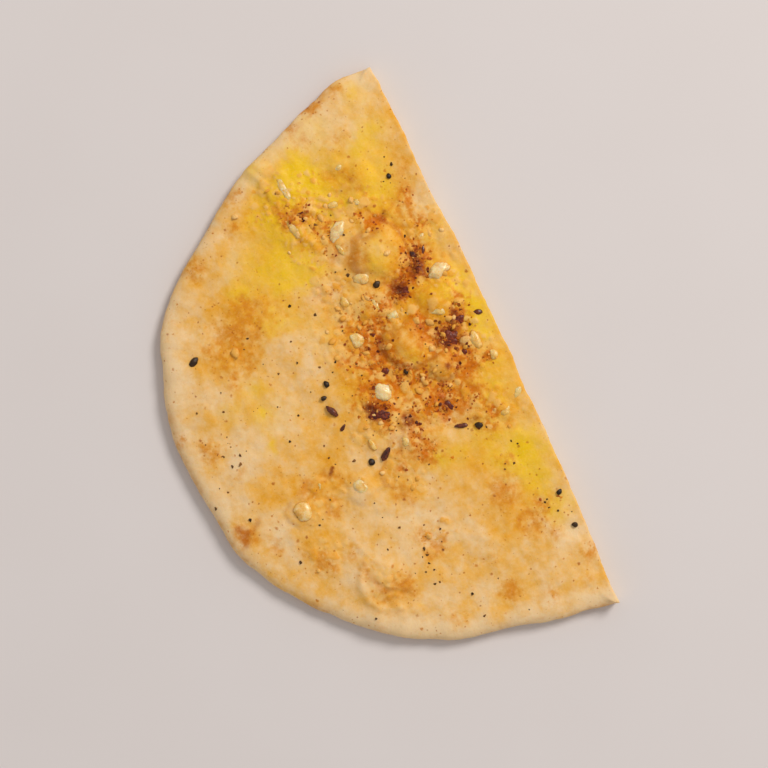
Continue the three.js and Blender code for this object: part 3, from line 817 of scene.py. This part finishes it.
def doughMaterial():
    material, tree, place = newMaterial("baked dough")
    wide = mottle(tree, place, 15, 6.0, 0.64)
    middle = mottle(tree, place, 4.2, 3.0, shift=3.1)
    small = mottle(tree, place, 1.7, 3.0, shift=5.7)
    lace = mottle(tree, place, 2.6, 3.0, 0.6, shift=11.9)
    grain = mottle(tree, place, 0.7, 2.0, 0.6, shift=8.3)
    names = "pale rim toast butter spice glaze scorch char bits bitShade dome crumb under"
    masks = {name: layer(tree, name) for name in names.split()}

    def roughened(mask, noise, push):
        # the mask broken up by the noise, with nothing added where there is no mask
        within = maths(tree, "MINIMUM", maths(tree, "MULTIPLY", mask, 2.2), 1.0)
        uneven = maths(tree, "MULTIPLY", maths(tree, "SUBTRACT", noise, 0.5), within)
        return addUp(tree, mask, (uneven, push))

    def stained(colour, *stains):
        # each stain: value, where it starts and is full, its strength, its paint
        for value, low, high, top, tint in stains:
            colour = blendPaint(tree, spread(tree, value, low, high, 0, top), colour, doughPaint[tint])
        return colour

    richness = addUp(tree, -1.05, (wide, 2.2), (lace, 0.75),
                     (masks["glaze"], 0.42), (masks["pale"], -0.4), (masks["rim"], -0.38))
    butter = roughened(masks["butter"], middle, 0.8)
    toast = roughened(masks["toast"], lace, 2.2)
    spice = addUp(tree, roughened(masks["spice"], lace, 2.2), (masks["bits"], -0.25))
    char = roughened(masks["char"], lace, 1.3)
    base = stained(toneRamp(tree, richness, doughPaint["ramp"]),
                   (butter, 0.0, 0.6, 0.75, "butterPale"),
                   (butter, 0.35, 0.95, 0.95, "butter"),
                   (roughened(masks["glaze"], lace, 1.2), 0.35, 1.0, 0.68, "soaked"),
                   (toast, 0.1, 0.8, 0.85, "toast"),
                   (toast, 0.75, 1.3, 0.7, "toastDeep"),
                   # painted shade on the far side of the tall blisters from the light
                   (roughened(masks["dome"], middle, 0.9), 0.1, 0.9, 0.6, "dome"),
                   (spice, 0.0, 0.6, 0.9, "spice"))
    golden = addUp(tree, masks["bitShade"], (masks["glaze"], 0.5))
    lump = blendPaint(tree, spread(tree, golden, 0.3, 1.1), doughPaint["bits"], doughPaint["bitsGold"])
    bits = roughened(masks["bits"], small, 0.8)
    base = blendPaint(tree, spread(tree, bits, 0.1, 0.9, 0, 0.76), base, lump)
    base = stained(base,
                   (spice, 0.65, 1.2, 0.7, "spiceDeep"),
                   (roughened(masks["scorch"], small, 0.7), 0.1, 0.9, 0.75, "scorch"),
                   (char, 0.1, 0.55, 0.8, "charHalo"),
                   (char, 0.4, 0.85, 0.9, "char"))

    # freckles of ground spice, everywhere, closer together where it is spiced
    strewn = addUp(tree, 0.0, (masks["spice"], 0.5), (toast, 0.22))
    shaken = shakenPlace(tree, place, 0.8, 0.75)
    for size, few, dark in doughPaint["freckles"]:
        cell = cells(tree, shaken, size)
        chance = newNode(tree, "ShaderNodeSeparateColor", {0: cell["Color"]}).outputs
        lucky = maths(tree, "LESS_THAN", chance[0], maths(tree, "ADD", strewn, few))
        spot = maths(tree, "MULTIPLY", spread(tree, cell["Distance"], 0.10, 0.34, dark, 0), lucky)
        tone = blendPaint(tree, chance[1], doughPaint["freckle"], doughPaint["toast"])
        base = blendPaint(tree, spot, base, tone)
    base = stained(base, (grain, 0.45, 0.75, 0.12, "floury"))
    base = blendPaint(tree, spread(tree, grain, 0.30, 0.45, 0.12, 0), base, doughPaint["toast"])

    # tanned patches on the side of the crust, then the crumb and the underside
    side = spread(tree, masks["rim"], 0.72, 1.0)
    patches = spread(tree, mottle(tree, place, 10, 5.0, 0.6, shift=31.0), 0.48, 0.68)
    tan = maths(tree, "MULTIPLY", patches, side)
    base = blendPaint(tree, maths(tree, "MULTIPLY", tan, 0.6), base, doughPaint["crustTan"])
    share = spread(tree, small, 0.35, 0.65)
    crumb = blendPaint(tree, share, doughPaint["crumb"], doughPaint["crumbShade"])
    base = blendPaint(tree, masks["crumb"], base, crumb)
    base = blendPaint(tree, masks["under"], base, underPaint(tree, place, grain))

    greasy = maths(tree, "MAXIMUM", masks["butter"], masks["glaze"])
    pores = spread(tree, cells(tree, place, 0.9)["Distance"], 0.05, 0.3)
    crumbly = maths(tree, "MULTIPLY", lace, masks["spice"])
    lumpy = bumpFrom(tree, addUp(tree, small, (crumbly, 1.2)), 0.35, 0.5)
    coat(tree, {
        "Base Color": base,
        "Roughness": spread(tree, roughened(greasy, middle, 1.0), 0.2, 0.9, 0.68, 0.4),
        "Specular IOR Level": spread(tree, masks["butter"], 0.2, 0.9, 0.08, 0.25),
        "Subsurface Weight": 0.1,
        "Subsurface Radius": (1.0, 0.5, 0.2),
        "Subsurface Scale": 0.0014,
        "Normal": bumpFrom(tree, addUp(tree, 0.0, (grain, 0.8), (pores, 0.25)), 0.28, 0.2, lumpy),
    })
    return material


toppings = {
    "garlic_piece": {
        "slot": "garlic",
        "whitest": 3,  # so many of the first are nearly white
        "whole": (4, 5),  # lumps that the dough has risen over, left round
        "smooth": 3,
        "sink": 0.3,  # share of its height that is in the dough
        "block": 0.94,  # below 1 the lump turns into a chopped block
        "chops": 3,  # flat knife cuts
        "ragged": 0.13,  # how far its outline wanders
        "waves": [(2.4, 0.32, 201), (1.2, 0.12, 202), (0.5, 0.02, 203)],
        "ridges": (0, 0.0),  # how many run along it, and their depth
    },
    "black_seed": {
        "slot": "black_seed", "whitest": 0, "whole": (), "smooth": 2, "sink": 0.22, "block": 0.95,
        "chops": 1, "ragged": 0.05, "waves": [(1.0, 0.09, 211), (0.45, 0.04, 212)], "ridges": (3, 0.06),
    },
    "brown_seed": {
        "slot": "brown_seed", "whitest": 0, "whole": (), "smooth": 2, "sink": 0.28, "block": 1.0,
        "chops": 1, "ragged": 0.12, "waves": [(1.3, 0.16, 221), (0.6, 0.06, 222)], "ridges": (5, 0.07),
    },
    "chilli_flake": {
        "slot": "chilli", "whitest": 0, "whole": (), "smooth": 3, "sink": 0.68, "block": 0.9,
        "chops": 2, "ragged": 0.34, "waves": [(1.6, 0.35, 231), (0.8, 0.16, 232), (0.4, 0.05, 233)],
        "ridges": (0, 0.0),
    },
}


def smoothCopy(node, level):
    # the node's own shape with its doubles merged, subdivided into a smooth one
    rough = bpy.data.meshes.new("rough")
    shell = bmesh.new()
    shell.from_mesh(cadNodes[node].data)
    bmesh.ops.remove_doubles(shell, verts=shell.verts, dist=1e-6)
    shell.to_mesh(rough)
    shell.free()
    piece = newPiece("rough", rough)
    subdivision = piece.modifiers.new("smooth", "SUBSURF")
    subdivision.levels = level
    subdivision.render_levels = level
    graph = bpy.context.evaluated_depsgraph_get()
    mesh = bpy.data.meshes.new_from_object(piece.evaluated_get(graph))
    bpy.data.objects.remove(piece)
    bpy.data.meshes.remove(rough)
    return mesh


def shapeTopping(node, settings, seed):
    mesh = smoothCopy(node, settings["smooth"])
    at = meshPlaces(mesh)
    low, high = (np.array(v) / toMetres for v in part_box(node))
    middle = (low + high) / 2
    flat = at[:, :2] - middle[:2]
    _, axes = np.linalg.eigh(flat.T @ flat)
    axes = axes[:, ::-1]  # longest first
    local = np.column_stack((flat @ axes, at[:, 2] - middle[2]))
    half = np.abs(local).max(0)
    unit = local / half
    # a chopped block keeps its size while its sides go flat
    unit = np.sign(unit) * np.abs(unit) ** settings["block"]
    dice = np.random.RandomState(300 + seed)
    whole = seed in settings["whole"]
    for _ in range(0 if whole else settings["chops"]):
        facing = dice.normal(size=3) * (1, 1, 0.6)
        facing /= np.linalg.norm(facing)
        over = np.clip(unit @ facing - dice.uniform(0.7, 0.95), 0, None)
        unit = unit - over[:, None] * facing * 0.9
    # the outline seen from above is uneven, and differently for each
    around = np.column_stack((unit[:, :2], 0.2 * unit[:, 2] + 5.3 * seed))
    uneven = rippleNoise(around, 0.75, 241) + 0.6 * rippleNoise(around, 0.35, 242)
    unit[:, :2] *= 1 + (0.3 if whole else 1) * settings["ragged"] * uneven[:, None]
    local = unit * half
    ridges, depth = settings["ridges"]
    if ridges:
        angle = np.arctan2(local[:, 2], local[:, 1])
        local[:, 1:] *= (1 + depth * np.cos(ridges * angle + 2 * unit[:, 0]))[:, None]
    outward = local / np.maximum(np.linalg.norm(local, axis=1), 1e-6)[:, None]
    scale = min(1.0, half[1] / 1.6)
    drift = np.array([seed * 7.3, seed * 3.1, seed * 5.9])
    push = sum(amount * scale * rippleNoise(local + drift, size * scale ** 0.5, grain)
               for size, amount, grain in settings["waves"])
    local = local + outward * push[:, None]
    at[:, :2] = local[:, :2] @ axes.T + middle[:2]
    bedded = toppingGap + (settings["sink"] + 0.15 * whole) * (high[2] - low[2])
    at[:, 2] = local[:, 2] + middle[2] - bedded
    mesh.vertices.foreach_set("co", (at * toMetres).ravel())
    mesh.update()
    mesh.shade_smooth()
    level = (local[:, 2] + half[2]) / (2 * half[2])
    floatLayer(mesh, "foot", 1 - easeBetween(level, 0.25, 0.8))
    tint = 0 if seed <= settings["whitest"] else 0.2 + 0.8 * ((seed * 0.618034) % 1)
    floatLayer(mesh, "tint", np.full(len(at), tint))
    mesh.name = node + "_baked"
    return newPiece(node + "_baked", mesh)


garlicPaint = {
    "ramp": [(0.34, "f6daa4"), (0.5, "eec47a"), (0.66, "e5a843")],
    "golden": "ecb04a",
    "whitest": "f4e2b8",
    "soaked": "da8a1a",  # its foot, where it sits in butter and spice
    "bright": "f7e6c4",
}


def garlicMaterial():
    material, tree, place = newMaterial("garlic")
    cloud = mottle(tree, place, 1.6, 3.0)
    fine = mottle(tree, place, 0.6, 2.0, shift=4.0)
    tint = layer(tree, "tint")
    foot = maths(tree, "ADD", layer(tree, "foot"), maths(tree, "SUBTRACT", cloud, 0.5))
    base = toneRamp(tree, cloud, garlicPaint["ramp"])
    for share, tone in ((spread(tree, tint, 0.3, 0.9, 0, 0.55), "golden"),
                        (spread(tree, tint, 0.05, 0.15, 0.25, 0), "whitest"),
                        (spread(tree, foot, 0.0, 0.8, 0, 0.9), "soaked"),
                        (spread(tree, fine, 0.6, 0.75, 0, 0.35), "bright")):
        base = blendPaint(tree, share, base, garlicPaint[tone])
    coat(tree, {
        "Base Color": base,
        "Roughness": spread(tree, fine, 0.35, 0.7, 0.2, 0.42),
        "Specular IOR Level": 0.42,
        "Subsurface Weight": 0.5,
        "Subsurface Radius": (1.0, 0.7, 0.3),
        "Subsurface Scale": 0.0025,
        "Normal": bumpFrom(tree, fine, 0.2, 0.15),
    })
    return material


def seedMaterial(name, dark, light, low, high, roughness, gloss):
    material, tree, place = newMaterial(name)
    wrinkle = mottle(tree, place, 0.9, 3.0, 0.6)
    fine = mottle(tree, place, 0.35, 2.0, shift=2.0)
    base = blendPaint(tree, spread(tree, wrinkle, low, high), dark, light)
    coat(tree, {
        "Base Color": blendPaint(tree, spread(tree, layer(tree, "tint"), 0.2, 1.0, 0, 0.35), base, light),
        "Specular IOR Level": gloss,
        "Roughness": spread(tree, fine, 0.3, 0.7, roughness - 0.1, roughness + 0.12),
        "Normal": bumpFrom(tree, wrinkle, 0.5, 0.25, bumpFrom(tree, fine, 0.3, 0.1)),
    })
    return material


def grainMaterial(name, tones, roughness):
    # small scattered grains: the tone comes from each grain's own shade
    material, tree, place = newMaterial(name)
    shade = layer(tree, "shade")
    fleck = mottle(tree, place, 0.5, 2.0)
    steps = np.linspace(0, 1, len(tones))
    base = tones[0]
    for start, end, tone in zip(steps[:-1], steps[1:], tones[1:]):
        base = blendPaint(tree, spread(tree, shade, start, end), base, tone)
    soaked = addUp(tree, fleck, (layer(tree, "glaze"), 0.3))
    coat(tree, {
        "Base Color": blendPaint(tree, spread(tree, soaked, 0.45, 0.85, 0, 0.7), base, tones[0]),
        "Specular IOR Level": 0.2,
        "Roughness": spread(tree, fleck, 0.3, 0.7, roughness - 0.08, roughness + 0.1),
        "Normal": bumpFrom(tree, fleck, 0.3, 0.1),
    })
    return material


def makeToppings(materials):
    made = 0
    for kind, settings in toppings.items():
        for seed, node in enumerate(sorted(n for n in cadNodes if n.startswith(kind))):
            piece = shapeTopping(node, settings, seed + 1)
            piece.data.materials.append(materials[kind])
            ridingPiece(piece, node)
            made += 1
    print("toppings made:", made)


# Grains and crumbs, scattered with geometry nodes
scatters = {
    "spice_grains": {
        "slot": "chilli", "layer": "spiceGrains", "perSquareMetre": 3e6, "facets": 1, "smallest": 0.14,
        "largest": 0.55, "rough": 0.6, "seed": 3, "smooth": False, "roughness": 0.6,
        "tones": ["8e3a0e", "c2640f", "e08414", "eba030", "f0b75c"],
    },
    "pepper_specks": {
        "slot": "black_seed", "layer": "pepper", "perSquareMetre": 34e3, "facets": 1, "smallest": 0.16,
        "largest": 0.40, "rough": 0.6, "seed": 5, "smooth": False, "roughness": 0.65,
        "tones": ["3a2412", "5e3a18", "8e5a28"],
    },
    "garlic_crumbs": {
        "slot": "garlic", "layer": "garlicCrumbs", "perSquareMetre": 52e3, "facets": 2, "smallest": 0.45,
        "largest": 1.5, "rough": 0.4, "seed": 8, "smooth": True, "roughness": 0.42,
        "tones": ["df9c38", "e9ae50", "f1c884"],
    },
    "toasted_crumbs": {
        "slot": "brown_seed", "layer": "toastedCrumbs", "perSquareMetre": 320e3, "facets": 1,
        "smallest": 0.2, "largest": 0.75, "rough": 0.7, "seed": 11, "smooth": False, "roughness": 0.5,
        "tones": ["4a1606", "742806", "a04a08", "cc7414"],
    },
    "placed_specks": {
        "slot": "black_seed", "layer": "", "perSquareMetre": 0.0, "facets": 1, "smallest": 0.26,
        "largest": 0.58, "rough": 0.7, "seed": 21, "smooth": False, "roughness": 0.6,
        "tones": ["38240f", "5a3a16", "8a5a28"],
    },
}

# Larger specks, listed one by one: x, y
speckPlaces = [
    (-38, 32), (-25, 27), (-20, 40.5), (-12.5, 48.5), (-3, 38.5), (1, 40), (2.5, 36.5), (-3.5, 36),
    (-1, 35), (13, 34), (16, 41.5), (7.5, 18.5), (2.5, 14), (-3.5, 19.5), (16.5, 14), (17, 7.5),
    (-29, 20.5), (-45.5, 6.5), (-41, 0.5), (-61, -2), (-56.5, -1), (-61, -3.5), (-54.5, -3),
    (-52, -3.5), (-50, -3.5), (-52, -2), (-68.5, -11), (-67.5, -20), (-30, -11), (-76, -11.5), (10, -1),
    (12.5, -3), (21, 17), (30, 18), (33.5, 2.5), (28, -3.5), (13, 2), (-56.5, -45), (-52.5, -42.5),
    (-52, -43.5), (-54.5, -43), (-24.5, -36), (59.5, -43.5), (-80, -24.5), (-63, 18.5), (52.5, -15),
    (56, -12.5), (34.5, -17.5), (37, -14.5), (66, -8), (-37, -36.5), (-38, -39), (-33, -42.5),
    (-31.5, -41), (-14, -11), (-17, 4.5), (-15.5, 10), (-13, 11), (46, -21.5), (20, -9), (38, -38),
]

scatterInputs = {  # the tree's inputs, their kinds, and the settings that they take
    "Per square metre": ("Float", "perSquareMetre"),
    "Smallest": ("Float", "smallest"),
    "Largest": ("Float", "largest"),
    "Roughness of shape": ("Float", "rough"),
    "Seed": ("Int", "seed"),
}


def scatterTree(name, settings, material):
    tree = bpy.data.node_groups.new(name, "GeometryNodeTree")
    face = tree.interface
    face.new_socket("Surface", in_out="INPUT", socket_type="NodeSocketGeometry")
    inputs = {label: face.new_socket(label, in_out="INPUT", socket_type="NodeSocket" + kind)
              for label, (kind, _) in scatterInputs.items()}
    face.new_socket("Grains", in_out="OUTPUT", socket_type="NodeSocketGeometry")
    given = newNode(tree, "NodeGroupInput", {}).outputs

    def node(kind, sockets, result, **values):
        return newNode(tree, kind, sockets, **values).outputs[result]

    def chance(kind, low, high, seed):
        first, second, result = {"FLOAT": (2, 3, 1), "FLOAT_VECTOR": (0, 1, 0)}[kind]
        sockets = {first: low, second: high, "Seed": seed}
        return node("FunctionNodeRandomValue", sockets, result, data_type=kind)

    def scaled(vector, factor):
        return node("ShaderNodeVectorMath", {0: vector, "Scale": factor}, 0, operation="SCALE")

    if settings["layer"]:
        sockets = {"Name": settings["layer"]}
        density = node("GeometryNodeInputNamedAttribute", sockets, "Attribute", data_type="FLOAT")
        density = maths(tree, "MULTIPLY", density, given["Per square metre"])
        sockets = {"Mesh": given["Surface"], "Density": density, "Seed": given["Seed"]}
        spots = node("GeometryNodeDistributePointsOnFaces", sockets, "Points", distribute_method="RANDOM")
    else:  # one grain on each point of the mesh
        spots = node("GeometryNodeMeshToPoints", {"Mesh": given["Surface"]}, "Points")
    sockets = {"Name": "shade", "Geometry": spots, "Value": chance("FLOAT", 0.0, 1.0, 1)}
    spots = node("GeometryNodeStoreNamedAttribute", sockets, "Geometry",
                 data_type="FLOAT", domain="POINT")

    # one uneven grain, a millimetre in radius before it is scaled
    sockets = {"Radius": toMetres, "Subdivisions": settings["facets"]}
    ball = node("GeometryNodeMeshIcoSphere", sockets, "Mesh")
    place = node("GeometryNodeInputPosition", {}, "Position")
    noise = node("ShaderNodeTexNoise", {"Scale": 900, "Vector": place}, "Fac", noise_dimensions="3D")
    shove = maths(tree, "MULTIPLY", maths(tree, "SUBTRACT", noise, 0.5), given["Roughness of shape"])
    sockets = {"Geometry": ball, "Offset": scaled(scaled(place, shove), 4)}
    grain = node("GeometryNodeSetPosition", sockets, "Geometry")

    size = chance("FLOAT", given["Smallest"], given["Largest"], 3)
    stretch = chance("FLOAT_VECTOR", (0.7, 0.55, 0.35), (1.5, 1.0, 0.6), 4)
    turn = chance("FLOAT_VECTOR", (-0.4, -0.4, 0), (0.4, 0.4, math.tau), 2)
    sockets = {"Points": spots, "Instance": grain, "Rotation": turn, "Scale": scaled(stretch, size)}
    grains = node("GeometryNodeInstanceOnPoints", sockets, "Instances")
    grains = node("GeometryNodeRealizeInstances", {"Geometry": grains}, "Geometry")
    sockets = {"Geometry": grains, "Shade Smooth": settings["smooth"]}
    grains = node("GeometryNodeSetShadeSmooth", sockets, "Geometry")
    grains = node("GeometryNodeSetMaterial", {"Geometry": grains, "Material": material}, "Geometry")
    newNode(tree, "NodeGroupOutput", {"Grains": grains})
    return tree, inputs


def scatterPiece(name, settings, surface):
    material = grainMaterial(name.replace("_", " "), settings["tones"], settings["roughness"])
    tree, inputs = scatterTree(name, settings, material)
    sower = newPiece(name + "_sower", surface)
    modifier = sower.modifiers.new("scatter", "NODES")
    modifier.node_group = tree
    for label, (_, key) in scatterInputs.items():
        modifier[inputs[label].identifier] = settings[key]
    sower.update_tag()
    graph = bpy.context.evaluated_depsgraph_get()
    mesh = bpy.data.meshes.new_from_object(sower.evaluated_get(graph))
    bpy.data.objects.remove(sower)
    mesh.name = name
    ridingPiece(newPiece(name, mesh))
    print(name + ":", len(mesh.polygons), "faces")


crumbPlaces = {
    "garlicCrumbs": bitPlaces,
    "toastedCrumbs": [
        (23, -31, 4.5, 0.9), (28, -37, 5, 1.0), (33, -39, 4, 0.9), (6, -37, 6, 0.8), (10, -43, 4, 0.8),
        (-7, -8, 5, 0.9), (-12, -15, 5, 1.0), (-5, -6, 4, 0.7), (3, -15, 4, 0.6), (12, -17, 4, 0.7),
        (-5, -33, 3, 0.9), (-21, -32, 3.5, 0.9), (-2, -39, 4, 0.6), (-53, -45, 4, 0.5), (46, -36, 2.5, 0.5),
        (-13, -28, 4, 0.5), (57, -14, 3, 0.4), (-14, 10.5, 2, 0.5), (-1, -10, 6, 0.4),
    ],
    "pepper": [
        (-6, 38, 8, 0.8), (2, 36, 5, 0.8), (-56, -3, 8, 0.9), (-50, -4, 6, 0.7), (10, 5, 30, 0.35),
        (-40, -5, 34, 0.25), (0, -20, 24, 0.3), (-55, -44, 6, 0.9), (40, -10, 22, 0.25), (-20, 10, 14, 0.4),
        (0, 30, 30, 0.25), (-15, -8, 10, 0.5), (20, -30, 16, 0.2), (60, -12, 8, 0.4), (55, -42, 8, 0.4),
    ],
}


def speckSurface(piece):
    # loose points on the bread's top, one for each listed speck
    mesh = piece.data
    shape = BVHTree.FromPolygons([v.co for v in mesh.vertices], [p.vertices[:] for p in mesh.polygons])
    down = Vector((0, 0, -1))
    hits = [shape.ray_cast(Vector((x, y, overhead)) * toMetres, down)[0] for x, y in speckPlaces]
    specks = bpy.data.meshes.new("speck places")
    specks.from_pydata([tuple(h) for h in hits if h is not None], [], [])
    return specks


def sowingSurface(piece):
    # the bread's top with the densities that the scatters read
    mesh = piece.data.copy()
    at = meshPlaces(mesh)
    grains = np.zeros(len(at), np.float32)
    mesh.attributes["spiceGrains"].data.foreach_get("value", grains)
    onTop = (at[:, 2] > 4).astype(float)
    domes = 1 - easeBetween(np.min(blisterReach(at)[:3], axis=0), 0.5, 0.9)
    for name, spots in crumbPlaces.items():
        bare = 1 - 0.8 * domes if name == "garlicCrumbs" else 1
        floatLayer(mesh, name, spotField(at, spots, warp=2.5, seed=151) ** 1.5 * onTop * bare)
    clumps = easeBetween(rippleNoise(at, 3.2, 161), -0.35, 0.45)
    mesh.attributes["spiceGrains"].data.foreach_set("value", (grains ** 1.8 * clumps).astype(np.float32))
    return mesh


breadPiece = makeBread()
breadPiece.data.materials.append(doughMaterial())
surface = sowingSurface(breadPiece)
breadPiece.data.attributes.remove(breadPiece.data.attributes["spiceGrains"])
ridingPiece(breadPiece, breadNode)

makeToppings({
    "garlic_piece": garlicMaterial(),
    "black_seed": seedMaterial("black seed", "1c1107", "54391a", 0.42, 0.78, 0.45, 0.3),
    "brown_seed": seedMaterial("brown seed", "35120a", "7c3a1c", 0.4, 0.72, 0.3, 0.45),
    "chilli_flake": seedMaterial("roasted chilli", "4a1206", "923a10", 0.42, 0.72, 0.36, 0.35),
})
specks = speckSurface(breadPiece)
for name, settings in scatters.items():
    scatterPiece(name, settings, surface if settings["layer"] else specks)

studio = {
    "floor": "dbd3d0",
    "floorCloud": "d6cdc9",
    "floorSize": 4.0,
    "lightFrom": (0.34, -0.94),  # level direction that the main light comes from
    "lightHeight": 44,  # degrees
    "lightAway": 2.2,
    "lightSize": 0.8,
    "lightPower": 31.0,
    "sky": 0.50,
    "lens": 100,
    "aim": (0.25, -13.5, 5.0),
    "frameWidth": 232.6,
    "turn": -114.97,  # degrees, the picture's right against +X
}


def makeFloor():
    half = studio["floorSize"] / 2
    mesh = bpy.data.meshes.new("floor")
    corners = [(-half, -half), (half, -half), (half, half), (-half, half)]
    mesh.from_pydata([(x, y, -0.0001) for x, y in corners], [], [(0, 1, 2, 3)])
    material, tree, place = newMaterial("pale board")
    cloud = spread(tree, mottle(tree, place, 60, 2.0), 0.3, 0.7, 0, 0.25)
    base = blendPaint(tree, cloud, studio["floor"], studio["floorCloud"])
    coat(tree, {"Base Color": base, "Roughness": 0.7})
    mesh.materials.append(material)
    newPiece("floor", mesh)


def makeLight():
    level = Vector(studio["lightFrom"] + (0,)).normalized()
    rise = math.radians(studio["lightHeight"])
    toLight = level * math.cos(rise) + Vector((0, 0, math.sin(rise)))
    lamp = bpy.data.lights.new("soft box", "AREA")
    lamp.shape = "DISK"
    lamp.size = studio["lightSize"]
    lamp.energy = studio["lightPower"]
    lamp.color = (1.0, 0.97, 0.94)
    light = bpy.data.objects.new("soft box", lamp)
    light.location = toLight * studio["lightAway"]
    light.rotation_euler = toLight.to_track_quat("Z", "Y").to_euler()
    scene.collection.objects.link(light)
    world = bpy.data.worlds.new("studio")
    scene.world = world
    world.use_nodes = True
    sky = world.node_tree.nodes["Background"]
    sky.inputs["Color"].default_value = (1.0, 0.985, 0.975, 1)
    sky.inputs["Strength"].default_value = studio["sky"]


def makeCamera():
    lens = bpy.data.cameras.new("camera")
    lens.lens = studio["lens"]
    lens.sensor_width = 36
    away = studio["frameWidth"] / 36 * studio["lens"]
    camera = bpy.data.objects.new("camera", lens)
    camera.location = (Vector(studio["aim"]) + Vector((0, 0, away))) * toMetres
    camera.rotation_euler = (0, 0, math.radians(studio["turn"]))
    scene.collection.objects.link(camera)
    scene.camera = camera


makeFloor()
makeLight()
makeCamera()
scene.view_settings.view_transform = "Standard"
print("floor, light and camera are set")
